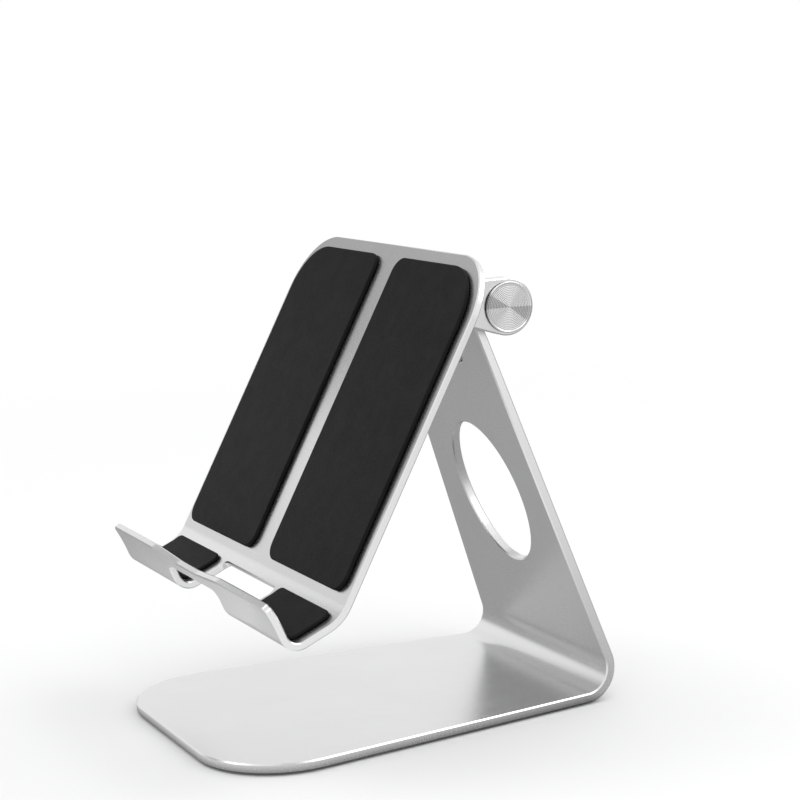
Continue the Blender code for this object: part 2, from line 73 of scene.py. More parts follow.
# The base and the upright: one sheet, folded once
SHEET = 3.6 * MM
FRONT_HALF_WIDTH = 65.5 * MM
TAPER = 0.097
BASE_FLAT = 148.7 * MM
FOLD_RADIUS = 9.0 * MM
LEAN = radians(18.4)
FRONT_CORNER = 32.0 * MM
TOP_CORNER = 6.0 * MM
FLOOR_GAP = 0.8 * MM
HOLE_HEIGHT, HOLE_HALF_TALL, HOLE_HALF_WIDE = 61.9 * MM, 29.6 * MM, 24.6 * MM
HINGE_UP = 139.4 * MM
HINGE_BEHIND = 11.7 * MM
UPRIGHT_ABOVE = 4.0 * MM
SHEET_EDGE = 0.5 * MM         # the diamond-cut chamfer

# The hinge
BARREL_RADIUS, BARREL_HALF, BARREL_BORE = 7.8 * MM, 36.0 * MM, 4.4 * MM
BARREL_EDGE = 0.4 * MM
LEAF_LENGTH, LEAF_THICK, LEAF_HALF = 27.0 * MM, 4.2 * MM, 21.0 * MM
LEAF_CORNER, LEAF_EDGE = 4.0 * MM, 0.4 * MM
EAR_RADIUS, EAR_INNER, EAR_OUTER = 10.5 * MM, 37.4 * MM, 44.0 * MM
EAR_LOWER_EDGE, EAR_UPPER_EDGE = radians(-11), radians(-29.5)
EAR_CHAMFER = 0.45 * MM
RECESS_RADIUS, RECESS_FLOOR = 8.0 * MM, 39.6 * MM
FLANGE_THICK, FLANGE_LOW, FLANGE_HIGH = 3.6 * MM, -26 * MM, 3 * MM
FLANGE_EDGE, FLANGE_IN_EAR = 0.3 * MM, 2 * MM
FLANGE_SHY = 0.02 * MM        # short of the ears' outline all round, so that no faces coincide
BOLT_HOLE = 3.1 * MM
CAP_RADIUS, CAP_FACE, CAP_DEPTH = 9.3 * MM, 45.4 * MM, 2.0 * MM
CAP_RIM, CAP_DISH = 0.75 * MM, 0.22 * MM
CAP_STANDS_OFF, CAP_BREAK = 0.6 * MM, 0.15 * MM
GROOVE_PITCH, GROOVE_DEPTH = 0.62 * MM, 0.045 * MM

# The tray: one sheet, folded into a ledge and a hooked lip
TRAY_TILT = radians(29.5)
TRAY_BEHIND = 27.0 * MM
TRAY_SHEET = 2.7 * MM
TRAY_HALF_WIDTH = 77.7 * MM
TRAY_ABOVE, TRAY_BELOW = 8.0 * MM, 120.8 * MM
TRAY_CORNER = 24.0 * MM
LEDGE_RADIUS, LEDGE_TURN = 15.75 * MM, radians(38)
LEDGE_FLAT = 9.6 * MM
HOOK_RADIUS, HOOK_TURN = 5.75 * MM, radians(91.3)
LIP_FLAT = 2.0 * MM
CURL_RADIUS, CURL_TURN = 60 * MM, radians(10.8)
LIP_CORNER = 2.5 * MM
LIP_DIP, DIP_INNER, DIP_OUTER, DIP_ROUND = 2.4 * MM, 10 * MM, 33 * MM, 30 * MM
SLOT_HALF_WIDTH, SLOT_CORNER = 25 * MM, 3.5 * MM
SLOT_IN_LIP, SLOT_LENGTH = 6.6 * MM, 30 * MM
TRAY_EDGE = 0.45 * MM

# Pads, feet and screws
PAD_THICK, PAD_INSET, PAD_SPLIT, PAD_CORNER = 1.5 * MM, 5.0 * MM, 8.0 * MM, 6.0 * MM
PAD_ENDS_ABOVE, PAD_TO_HOOK_PAD = 3.0 * MM, 8.0 * MM
HOOK_PAD_THICK, HOOK_PAD_FROM_TIP, HOOK_PAD_CORNER = 1.2 * MM, 3.2 * MM, 3.0 * MM
PAD_EDGE = 0.45 * MM
FOOT_RADIUS, FOOT_RECESS, FOOT_BEVEL, FOOT_DISH = 8.0 * MM, 0.8 * MM, 0.35 * MM, 0.15 * MM
FOOT_ROWS = {"front": (26 * MM, 21 * MM), "rear": (BASE_FLAT - 16 * MM, 15 * MM)}
SCREW_HOLE = 3.4 * MM
LEAF_SCREWS, LEAF_SCREW_DOWN = (-13 * MM, 0, 13 * MM), 17.0 * MM
LEAF_SCREW_BORE, LEAF_SCREW_DEPTH = 1.8 * MM, 14 * MM
TRAY_SCREW_X, TRAY_SCREW_ROWS = 30 * MM, (-20 * MM, -2 * MM)

# How finely the shapes are cut
FOLD_STEP = radians(3)
CORNER_STEPS = 24             # in a quarter turn, and twice as many in the sheets' large corners
TURN_STEPS = 128
SCREW_STEPS = 48
WELD = 1e-7                   # points this close are one point
CHAMFER_LEAST, CHAMFER_MOST = 0.3, 0.95   # how far a chamfer's normal reaches along its plate's
SHARP_ABOVE = radians(28)
CAP_SHARP_ABOVE = radians(8)  # keeps the flanks of the caps' grooves crisp

FOLD_Y = (BASE_FLAT - FOLD_RADIUS - SHEET) / 2
FOLD_TURN = pi / 2 + LEAN
FOLD_MID = FOLD_RADIUS + SHEET / 2
FOLD_LENGTH = FOLD_MID * FOLD_TURN
UP = Vector((0, -sin(LEAN), cos(LEAN)))                # up the upright
BACK = Vector((0, cos(LEAN), sin(LEAN)))               # out of the upright's rear face
RISE = Vector((0, sin(TRAY_TILT), cos(TRAY_TILT)))     # up the tray
FACE = Vector((0, -cos(TRAY_TILT), sin(TRAY_TILT)))    # out of the tray's front face
TRAY_TOP = HINGE + FACE * (TRAY_BEHIND + TRAY_SHEET / 2) + RISE * TRAY_ABOVE
TRAY_RUNS = [
    (TRAY_ABOVE + TRAY_BELOW, 0),
    (LEDGE_RADIUS * LEDGE_TURN, -LEDGE_TURN),
    (LEDGE_FLAT, 0),
    (HOOK_RADIUS * HOOK_TURN, -HOOK_TURN),
    (LIP_FLAT, 0),
    (CURL_RADIUS * CURL_TURN, CURL_TURN),
]
TRAY_LENGTH = sum(length for length, _ in TRAY_RUNS)

# Noise, in cells to the metre
BLAST_GRAIN, BLAST_CLOUDS, MICRO_GRAIN = 3200, 28, 9000
EDGE_WEAR, CUTTER_MARKS = 160, 5200
TURNED_GRAIN = 2600
STIPPLE, DUST = 2600, 130
ZINC_PATCHES, ZINC_GRAIN = 700, 6000
SCUFFS = 900

# The camera
CAMERA_AT = Vector((0.72025, -0.32638, 0.24671))
AZIMUTH, ELEVATION, ROLL = radians(64.33), radians(9.35), radians(-2.75)
LENS, SENSOR = 96.4, 36
CLIP = (0.05, 50)

# The studio. The sky's tones, the floor's glow and the card show only in reflections and as light
SKY_LEVELS, SKY_HEIGHTS = (0.92, 0.90), (0.2, 1.0)
PANELS = [                    # direction, angle of full dimming, angle where it ends, and light left
    ((-0.85, -0.45, -0.08), radians(9.5), radians(18.5), 0.28),
    ((-0.25, 0.97, 0.0), radians(12), radians(28), 0.45),
]
SECOND_BOUNCE = 0.64          # light left for a ray on its second bounce or later
CARD_X, CARD_Y, CARD_Z = -0.25, (-0.6, 0.12), (0.19, 0.6)
CARD_GLOW = 0.42
FLOOR_RADIUS = 12
FLOOR_COLOUR = (0.86, 0.86, 0.865)
FLOOR_FADE = (0.08, 0.9)      # distances from the stand at which it starts and ends to fade to white
FLOOR_BRIGHTENS = (0.52, -0.85, 0)
FLOOR_GLOW, FLOOR_GLOW_ACROSS = (0.37, 0.95), (-0.06, 0.10)
FLOOR_CLOSE, FLOOR_CLOSE_ACROSS = 0.10, (0.0015, 0.017)   # share of its glow very close by
SOFTBOXES = [                 # name, place, aim, side length and watts
    ("overhead", (0.25, 0.78, 0.95), (0, 0, 0.05), 0.9, 4.4),
    ("front", (-0.5, -0.7, 1.1), (0, 0, 0.05), 0.8, 2.6),
    ("side", (1.1, 0.2, 0.7), (0, 0, 0.08), 0.8, 1.8),
]


# Shapes

def rounded(corners, steps=CORNER_STEPS):
    """A closed outline through (x, y, radius) corners, each rounded to its radius."""
    points = []
    for i, (x, y, radius) in enumerate(corners):
        here = Vector((x, y))
        before = (Vector(corners[i - 1][:2]) - here).normalized()
        after = (Vector(corners[(i + 1) % len(corners)][:2]) - here).normalized()
        half = acos(max(-1, min(1, before.dot(after)))) / 2
        if radius == 0:
            points.append(here)
            continue
        centre = here + (before + after).normalized() * (radius / sin(half))
        start = here + before * (radius / tan(half)) - centre
        end = here + after * (radius / tan(half)) - centre
        turn = start.angle_signed(end)
        count = max(3, round(steps * abs(turn) / (pi / 2)))
        points += [centre + Matrix.Rotation(-turn * k / count, 2) @ start for k in range(count + 1)]
    return points


def rectangle(x0, x1, y0, y1, radius, steps=CORNER_STEPS):
    return rounded([(x0, y0, radius), (x1, y0, radius), (x1, y1, radius), (x0, y1, radius)], steps)


def ellipse(centre_x, centre_y, half_wide, half_tall, steps=120):
    turns = [2 * pi * k / steps for k in range(steps)]
    return [Vector((centre_x + half_wide * cos(t), centre_y + half_tall * sin(t))) for t in turns]


def arc(radius, start, end, steps):
    angles = [start + (end - start) * k / steps for k in range(steps + 1)]
    return [Vector((radius * cos(angle), radius * sin(angle))) for angle in angles]


def face_outwards(work):
    bmesh.ops.recalc_face_normals(work, faces=work.faces)
    if work.calc_volume(signed=True) < 0:
        bmesh.ops.reverse_faces(work, faces=work.faces)


def plate_mesh(outlines, thickness, edge=0.0, edge_steps=0):
    """A flat plate about z = 0 from an outline and the holes in it. Its chamfers have material 1."""
    curve = bpy.data.curves.new("outline", "CURVE")
    curve.dimensions = "2D"
    curve.fill_mode = "BOTH"
    curve.extrude = thickness / 2 - edge
    curve.bevel_depth = edge
    curve.bevel_resolution = edge_steps
    curve.offset = -edge
    for outline in outlines:
        area = sum(a.x * b.y - b.x * a.y for a, b in zip(outline, outline[1:] + outline[:1]))
        if area < 0:
            outline = outline[::-1]
        spline = curve.splines.new("POLY")
        spline.points.add(len(outline) - 1)
        for point, place in zip(spline.points, outline):
            point.co = (place.x, place.y, 0, 1)
        spline.use_cyclic_u = True
    guide = bpy.data.objects.new("outline", curve)
    bpy.context.scene.collection.objects.link(guide)
    graph = bpy.context.evaluated_depsgraph_get()
    mesh = bpy.data.meshes.new_from_object(guide.evaluated_get(graph))
    bpy.data.objects.remove(guide)
    work = bmesh.new()
    work.from_mesh(mesh)
    bmesh.ops.remove_doubles(work, verts=work.verts, dist=WELD)
    face_outwards(work)
    for face in work.faces:
        face.material_index = int(CHAMFER_LEAST < abs(face.normal.z) < CHAMFER_MOST)
    work.to_mesh(mesh)
    work.free()
    return mesh


def folded(mesh, start, heading, runs):
    """Folds a flat plate along Y. runs holds (length, turn) pairs; a run that turns is an arc.

    The plate's y becomes the distance along the path, its x stays, and its z goes to the path's left.
    """
    path, place, angle, reached = [], start.copy(), heading, 0.0
    for length, turn in runs:
        path.append((reached, length, turn, place.copy(), angle))
        along = Vector((0, cos(angle + turn / 2), sin(angle + turn / 2)))
        place += along * (length if turn == 0 else 2 * length / turn * sin(turn / 2))
        angle += turn
        reached += length
    work = bmesh.new()
    work.from_mesh(mesh)
    for first, length, turn, _, _ in path[1:]:
        pieces = max(1, round(abs(turn) / FOLD_STEP))
        for k in range(pieces):
            everything = work.verts[:] + work.edges[:] + work.faces[:]
            station = Vector((0, first + length * k / pieces, 0))
            bmesh.ops.bisect_plane(work, geom=everything, plane_co=station, plane_no=(0, 1, 0),
                                   dist=WELD)
    for vert in work.verts:
        x, distance, height = vert.co
        begun = [run for run in path if run[0] <= distance + WELD]
        first, length, turn, place, angle = begun[-1] if begun else path[0]
        swept = turn * (distance - first) / length
        along = Vector((0, cos(angle + swept / 2), sin(angle + swept / 2)))
        chord = (distance - first) if turn == 0 else 2 * length / turn * sin(swept / 2)
        left = Vector((0, -sin(angle + swept), cos(angle + swept)))
        vert.co = place + along * chord + left * height + Vector((x, 0, 0))
    face_outwards(work)
    work.to_mesh(mesh)
    work.free()
    return mesh


def tray_folded(mesh):
    """Folds a flat plate to the tray's shape. Its y runs down from the tray's top edge to the lip."""
    return folded(mesh, TRAY_TOP, -pi / 2 - TRAY_TILT, TRAY_RUNS)


def turned_mesh(profile, steps=TURN_STEPS):
    """A turned solid about local X from (x, radius) points, from one end on the axis to the other."""
    mesh = bpy.data.meshes.new("turned")
    work = bmesh.new()
    rings = []
    turns = [2 * pi * k / steps for k in range(steps)]
    for x, radius in profile:
        if radius == 0:
            rings.append([work.verts.new((x, 0, 0))])
        else:
            rings.append([work.verts.new((x, radius * cos(t), radius * sin(t))) for t in turns])
    for first, second in zip(rings, rings[1:]):
        for k in range(steps):
            corners = [first[k % len(first)], first[(k + 1) % len(first)],
                       second[(k + 1) % len(second)], second[k % len(second)]]
            work.faces.new(list(dict.fromkeys(corners)))
    face_outwards(work)
    work.to_mesh(mesh)
    work.free()
    return mesh


def frame_at(origin, x, y, z):
    """The matrix that puts local axes along x, y and z, at origin."""
    matrix = Matrix((x, y, z)).transposed().to_4x4()
    matrix.translation = origin
    return matrix


def hinge_side(sign):
    """The hinge line's frame, with local X towards that side of the stand."""
    return frame_at(HINGE, ACROSS * sign, Vector((0, sign, 0)), Vector((0, 0, 1)))


def new_object(name, mesh, where=None):
    piece = bpy.data.objects.new(name, mesh)
    bpy.context.scene.collection.objects.link(piece)
    if where is not None:
        mesh.transform(where)
    return piece


def combine(piece, mesh, where, operation="DIFFERENCE"):
    """Cuts a closed mesh out of a piece, or joins it to the piece."""
    tool = new_object("tool", mesh, where)
    boolean = piece.modifiers.new("combine", "BOOLEAN")
    boolean.operation = operation
    boolean.object = tool
    graph = bpy.context.evaluated_depsgraph_get()
    piece.data = bpy.data.meshes.new_from_object(piece.evaluated_get(graph))
    piece.modifiers.clear()
    bpy.data.objects.remove(tool)


def finish_piece(piece, body, materials, replaced, sharp_above=SHARP_ABOVE):
    """Shades a piece, gives it its materials and ties it to the frame."""
    mesh = piece.data
    mesh.materials.clear()
    for made in materials:
        mesh.materials.append(made)
    mesh.shade_smooth()
    mesh.set_sharp_from_angle(angle=sharp_above)
    normals = piece.modifiers.new("normals", "WEIGHTED_NORMAL")
    normals.keep_sharp = True
    normals.weight = 80
    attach(piece, body)
    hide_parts(replaced)
    return piece


# Materials

class Nodes:
    """A node tree, built a line at a time."""

    def __init__(self, tree):
        self.tree = tree

    def add(self, kind, **settings):
        node = self.tree.nodes.new(kind)
        for key, value in settings.items():
            setattr(node, key, value)
        return node

    def link(self, output, node, socket):
        self.tree.links.new(output, node.inputs[socket])

    def place(self):
        return self.add("ShaderNodeTexCoord").outputs["Object"]

    def noise(self, scale, detail=2.0, roughness=0.5):
        """Noise over the object's own coordinates. scale is in cells to the metre."""
        node = self.add("ShaderNodeTexNoise")
        node.inputs["Scale"].default_value = scale
        node.inputs["Detail"].default_value = detail
        node.inputs["Roughness"].default_value = roughness
        self.link(self.place(), node, "Vector")
        return node.outputs["Fac"]

    def spread(self, value, low, high, start=0.3, end=0.7):
        """Maps start to end onto low to high."""
        node = self.add("ShaderNodeMapRange")
        node.inputs["From Min"].default_value = start
        node.inputs["From Max"].default_value = end
        node.inputs["To Min"].default_value = low
        node.inputs["To Max"].default_value = high
        self.link(value, node, "Value")
        return node.outputs["Result"]

    def math(self, operation, first, second):
        node = self.add("ShaderNodeMath", operation=operation)
        for socket, value in enumerate((first, second)):
            if isinstance(value, (int, float)):
                node.inputs[socket].default_value = value
            else:
                self.link(value, node, socket)
        return node.outputs[0]

    def grey_ramp(self, value, stops):
        """A colour from a value, by (position, grey) stops."""
        node = self.add("ShaderNodeValToRGB")
        ramp = node.color_ramp
        for k, (position, grey) in enumerate(stops):
            stop = ramp.elements[k] if k < 2 else ramp.elements.new(position)
            stop.position = position
            stop.color = (grey, grey, grey * 1.004, 1)
        self.link(value, node, "Fac")
        return node.outputs["Color"]

    def along(self, vector, direction):
        """How far a vector reaches in a direction."""
        node = self.add("ShaderNodeVectorMath", operation="DOT_PRODUCT")
        node.inputs[1].default_value = direction
        self.link(vector, node, 0)
        return node.outputs["Value"]


class Material(Nodes):
    """A Principled material and its nodes."""

    def __init__(self, name):
        self.material = bpy.data.materials.new(name)
        self.material.use_nodes = True
        super().__init__(self.material.node_tree)
        self.shader = self.tree.nodes["Principled BSDF"]

    def bump(self, height, strength, distance):
        node = self.add("ShaderNodeBump")
        node.inputs["Strength"].default_value = strength
        node.inputs["Distance"].default_value = distance
        self.link(height, node, "Height")
        return node.outputs["Normal"]


def blasted_aluminium():
    """Fine bead-blasted, silver-anodised sheet: a tight even grain and slow, faint clouding."""
    made = Material("blasted_aluminium")
    made.shader.inputs["Metallic"].default_value = 1.0
    grain = made.noise(BLAST_GRAIN, detail=3.0, roughness=0.7)
    clouds = made.noise(BLAST_CLOUDS)
    tone = made.math("ADD", made.spread(grain, -0.4, 0.4), made.spread(clouds, -0.35, 0.35))
    made.link(made.grey_ramp(made.spread(tone, 0, 1, -0.8, 0.8), [(0, 0.800), (1, 0.870)]),
              made.shader, "Base Color")
    rough = made.math("ADD", made.spread(grain, 0.235, 0.285), made.spread(clouds, -0.012, 0.012))
    made.link(rough, made.shader, "Roughness")
    made.link(made.bump(made.noise(MICRO_GRAIN), 0.18, 0.012 * MM), made.shader, "Normal")
    return made.material


def cut_edge():
    """The diamond-cut chamfers: bright, with hair-fine cutter marks and a little handling wear."""
    made = Material("cut_edge")
    made.shader.inputs["Metallic"].default_value = 1.0
    wear = made.noise(EDGE_WEAR, detail=4.0, roughness=0.6)
    made.link(made.grey_ramp(wear, [(0.25, 0.93), (0.75, 0.99)]), made.shader, "Base Color")
    made.link(made.spread(wear, 0.13, 0.22), made.shader, "Roughness")
    made.link(made.bump(made.noise(CUTTER_MARKS, detail=1.0), 0.10, 0.01 * MM), made.shader, "Normal")
    return made.material


def turned_aluminium():
    """The caps' turned face: concentric cuts and a radial shine, with painted highlights and painted
    shade in the colour: bright and dark sectors round the axis, and darker rings along the cuts.
    """
    made = Material("turned_aluminium")
    made.shader.inputs["Metallic"].default_value = 1.0
    made.shader.inputs["Anisotropic"].default_value = 0.65
    centred = made.add("ShaderNodeVectorMath", operation="SUBTRACT")
    centred.inputs[1].default_value = HINGE
    made.link(made.place(), centred, 0)
    axes = made.add("ShaderNodeSeparateXYZ")
    made.link(centred.outputs[0], axes, 0)
    turn = made.math("ARCTAN2", axes.outputs["Z"], axes.outputs["Y"])
    share = made.math("FRACT", made.math("ADD", made.math("DIVIDE", turn, 2 * pi), 1.0), 0.0)
    # Painted highlights and painted shade: the colour is lighter or darker in sectors by the angle
    # round the cap's axis, in place of the turned metal's shine
    painted_sheen_sectors = made.grey_ramp(share, [
        (0.000, 0.86), (0.060, 0.80), (0.130, 0.74), (0.180, 0.86), (0.260, 0.95), (0.400, 0.92),
        (0.412, 0.58), (0.495, 0.54), (0.507, 0.86), (0.600, 0.74), (0.680, 0.88), (0.760, 0.95),
        (0.886, 0.90), (0.898, 0.58), (0.990, 0.54), (1.000, 0.86),
    ])
    across = made.add("ShaderNodeCombineXYZ")
    made.link(axes.outputs["Y"], across, "X")
    made.link(axes.outputs["Z"], across, "Y")
    radius = made.add("ShaderNodeVectorMath", operation="LENGTH")
    made.link(across.outputs[0], radius, 0)
    # Painted shade along the cuts: the colour darkens in rings at the groove pitch
    turns = made.math("MULTIPLY", radius.outputs["Value"], 2 * pi / GROOVE_PITCH)
    painted_cut_shade = made.math("COSINE", turns, 0.0)
    painted_sheen_and_cut_shade = made.add("ShaderNodeVectorMath", operation="SCALE")
    made.link(painted_sheen_sectors, painted_sheen_and_cut_shade, 0)
    made.link(made.spread(painted_cut_shade, 0.77, 0.94, -1, 1), painted_sheen_and_cut_shade, "Scale")
    made.link(painted_sheen_and_cut_shade.outputs[0], made.shader, "Base Color")
    made.link(made.spread(made.noise(TURNED_GRAIN, detail=3.0), 0.17, 0.27), made.shader, "Roughness")
    made.link(made.bump(made.noise(MICRO_GRAIN), 0.2, 0.01 * MM), made.shader, "Normal")
    tangent = made.add("ShaderNodeTangent", direction_type="RADIAL", axis="X")
    made.link(tangent.outputs[0], made.shader, "Tangent")
    return made.material


def silicone():
    """Matte black silicone with a fine moulded stipple and a trace of dust."""
    made = Material("silicone_rubber")
    made.shader.inputs["Sheen Weight"].default_value = 0.02
    made.shader.inputs["Specular IOR Level"].default_value = 0.14
    stipple = made.noise(STIPPLE)
    dust = made.noise(DUST, detail=5.0, roughness=0.65)
    made.link(made.grey_ramp(dust, [(0.35, 0.004), (0.80, 0.010)]), made.shader, "Base Color")
    made.link(made.spread(stipple, 0.52, 0.72), made.shader, "Roughness")
    made.link(made.bump(stipple, 0.5, 0.05 * MM), made.shader, "Normal")
    return made.material


def zinc_steel():
    """Zinc-plated fasteners: cool grey, with turning marks and small dull patches."""
    made = Material("zinc_steel")
    made.shader.inputs["Metallic"].default_value = 1.0
    patches = made.noise(ZINC_PATCHES, detail=4.0, roughness=0.6)
    made.link(made.grey_ramp(patches, [(0.3, 0.46), (0.7, 0.62)]), made.shader, "Base Color")
    made.link(made.spread(patches, 0.24, 0.42), made.shader, "Roughness")
    made.link(made.bump(made.noise(ZINC_GRAIN), 0.2, 0.01 * MM), made.shader, "Normal")
    return made.material


def nylon():
    """Natural nylon: off-white, a little translucent, lightly scuffed."""
    made = Material("natural_nylon")
    made.shader.inputs["Subsurface Weight"].default_value = 0.15
    made.shader.inputs["Subsurface Scale"].default_value = 0.8 * MM
    scuffs = made.noise(SCUFFS, detail=3.0)
    made.link(made.grey_ramp(scuffs, [(0.3, 0.70), (0.7, 0.78)]), made.shader, "Base Color")
    made.link(made.spread(scuffs, 0.42, 0.58), made.shader, "Roughness")
    made.link(made.bump(scuffs, 0.3, 0.02 * MM), made.shader, "Normal")
    return made.material


# Pieces

def half_width(distance):
    """Half the base sheet's width, at a distance along it from the front edge."""
    return FRONT_HALF_WIDTH - TAPER * distance


def foot_frames():
    """Each foot's frame by name, on the floor, with local X upwards."""
    upwards = Vector((0, 0, 1))
    frames = {}
    for end, (distance, inset) in FOOT_ROWS.items():
        for side, sign in SIDES:
            x = sign * (half_width(distance) - inset)
            centre = Vector((x, FOLD_Y - BASE_FLAT + distance, 0))
            frames[f"{end}_{side}"] = frame_at(centre, upwards, ACROSS, upwards.cross(ACROSS))
    return frames


def base_sheet():
    """The base and upright, with its cut edges, cable hole, screw holes and foot recesses."""
    hinge_at = BASE_FLAT + FOLD_LENGTH + HINGE_UP
    top = hinge_at + UPRIGHT_ABOVE
    blank = rounded([
        (-half_width(0), 0, FRONT_CORNER),
        (half_width(0), 0, FRONT_CORNER),
        (half_width(top), top, TOP_CORNER),
        (-half_width(top), top, TOP_CORNER),
    ], 2 * CORNER_STEPS)
    hole = ellipse(0, BASE_FLAT + FOLD_LENGTH + HOLE_HEIGHT, HOLE_HALF_WIDE, HOLE_HALF_TALL)
    screws_at = hinge_at - LEAF_SCREW_DOWN
    screws = [ellipse(x, screws_at, SCREW_HOLE, SCREW_HOLE, SCREW_STEPS) for x in LEAF_SCREWS]
    start = Vector((0, FOLD_Y - BASE_FLAT, FLOOR_GAP + SHEET / 2))
    runs = [(BASE_FLAT, 0), (FOLD_LENGTH, FOLD_TURN), (HINGE_UP + UPRIGHT_ABOVE, 0)]
    mesh = folded(plate_mesh([blank, hole, *screws], SHEET, SHEET_EDGE), start, 0, runs)
    piece = new_object("base_sheet", mesh)
    wide, deep = FOOT_RADIUS + GAP, FLOOR_GAP + FOOT_RECESS
    recess = [(-MM, 0), (-MM, wide), (deep, wide), (deep, 0)]
    for where in foot_frames().values():
        combine(piece, turned_mesh(recess, steps=64), where)
    finish_piece(piece, "stand", [blasted, bright], "base_bracket")


def feet():
    """Round silicone feet with a soft edge and a shallow dished underside."""
    top = FLOOR_GAP + FOOT_RECESS - GAP
    rim = FOOT_RADIUS - 2 * FOOT_BEVEL
    soft_edge = arc(FOOT_BEVEL, 0.1, pi / 2, steps=5)
    profile = [(FOOT_DISH, 0), (FOOT_DISH, rim - MM), (0, rim - 0.6 * MM), (0, rim)]
    profile += [(FOOT_BEVEL - p.x, FOOT_RADIUS - FOOT_BEVEL + p.y) for p in soft_edge]
    profile += [(top, FOOT_RADIUS), (top, 0)]
    for name, where in foot_frames().items():
        piece = new_object(f"pad_foot_{name}", turned_mesh(profile, steps=72), where)
        finish_piece(piece, "stand", [black], f"foot_{name}")


def barrel():
    """The fixed knuckle, with broken edges, and its leaf behind the upright."""
    leaf_front = SHEET - HINGE_BEHIND + GAP
    profile = [
        (-BARREL_HALF, 0),
        (-BARREL_HALF, BARREL_RADIUS - BARREL_EDGE),
        (BARREL_EDGE - BARREL_HALF, BARREL_RADIUS),
        (BARREL_HALF - BARREL_EDGE, BARREL_RADIUS),
        (BARREL_HALF, BARREL_RADIUS - BARREL_EDGE),
        (BARREL_HALF, 0),
    ]
    piece = new_object("barrel", turned_mesh(profile), Matrix.Translation(HINGE))
    outline = rounded([
        (-LEAF_HALF, -LEAF_LENGTH, LEAF_CORNER),
        (LEAF_HALF, -LEAF_LENGTH, LEAF_CORNER),
        (LEAF_HALF, 0, 0),
        (-LEAF_HALF, 0, 0),
    ])
    middle = HINGE + BACK * (leaf_front + LEAF_THICK / 2)
    leaf = frame_at(middle, ACROSS, UP, ACROSS.cross(UP))
    combine(piece, plate_mesh([outline], LEAF_THICK, LEAF_EDGE), leaf, "UNION")
    reach = BARREL_HALF + MM
    bore = [(-reach, 0), (-reach, BARREL_BORE), (reach, BARREL_BORE), (reach, 0)]
    combine(piece, turned_mesh(bore, steps=64), Matrix.Translation(HINGE))
    hole = [(0, 0), (0, LEAF_SCREW_BORE), (LEAF_SCREW_DEPTH, LEAF_SCREW_BORE), (LEAF_SCREW_DEPTH, 0)]
    for x in LEAF_SCREWS:
        centre = HINGE - BACK * HINGE_BEHIND - UP * LEAF_SCREW_DOWN + ACROSS * x
        where = frame_at(centre, BACK, ACROSS, BACK.cross(ACROSS))
        combine(piece, turned_mesh(hole, steps=32), where)
    finish_piece(piece, "stand", [blasted, bright], "hinge_barrel")


def tray_yoke():
    """The tray's hinge bracket: two ears with broken edges, and the flange between them."""
    flange_front = TRAY_BEHIND - GAP
    flange_rear = flange_front - FLANGE_THICK
    lower, upper = EAR_LOWER_EDGE - pi / 2, EAR_UPPER_EDGE + pi / 2
    round_end = arc(EAR_RADIUS, lower, upper - 2 * pi, steps=96)[::-1]

    def edge_height(point, slope):
        return point.y + (flange_rear - point.x) * tan(slope)

    ear = round_end + [
        Vector((flange_rear, edge_height(round_end[-1], EAR_LOWER_EDGE))),
        Vector((flange_rear, FLANGE_LOW)),
        Vector((flange_front, FLANGE_LOW)),
        Vector((flange_front, FLANGE_HIGH)),
        Vector((flange_rear, FLANGE_HIGH)),
        Vector((flange_rear, edge_height(round_end[0], EAR_UPPER_EDGE))),
    ]
    thick = EAR_OUTER - EAR_INNER
    left, right = [
        frame_at(HINGE + ACROSS * sign * (EAR_INNER + thick / 2), FACE, RISE, FACE.cross(RISE))
        for _, sign in SIDES
    ]
    piece = new_object("tray_yoke", plate_mesh([ear], thick, EAR_CHAMFER), left)
    combine(piece, plate_mesh([ear], thick, EAR_CHAMFER), right, "UNION")
    inside = EAR_INNER + FLANGE_IN_EAR
    flange = rectangle(-inside, inside, FLANGE_LOW + FLANGE_SHY, FLANGE_HIGH - FLANGE_SHY, 0)
    middle = HINGE + FACE * (flange_rear + FLANGE_THICK / 2)
    where = frame_at(middle, ACROSS, RISE, ACROSS.cross(RISE))
    combine(piece, plate_mesh([flange], FLANGE_THICK - 2 * FLANGE_SHY, FLANGE_EDGE), where, "UNION")
    reach = EAR_OUTER + MM
    hole = [(-reach, 0), (-reach, BOLT_HOLE), (reach, BOLT_HOLE), (reach, 0)]
    combine(piece, turned_mesh(hole, steps=48), Matrix.Translation(HINGE))
    recess = [(RECESS_FLOOR, 0), (RECESS_FLOOR, RECESS_RADIUS), (reach, RECESS_RADIUS), (reach, 0)]
    for _, sign in SIDES:
        combine(piece, turned_mesh(recess, steps=96), hinge_side(sign))
    finish_piece(piece, "tray", [blasted, bright], "tray_bracket")


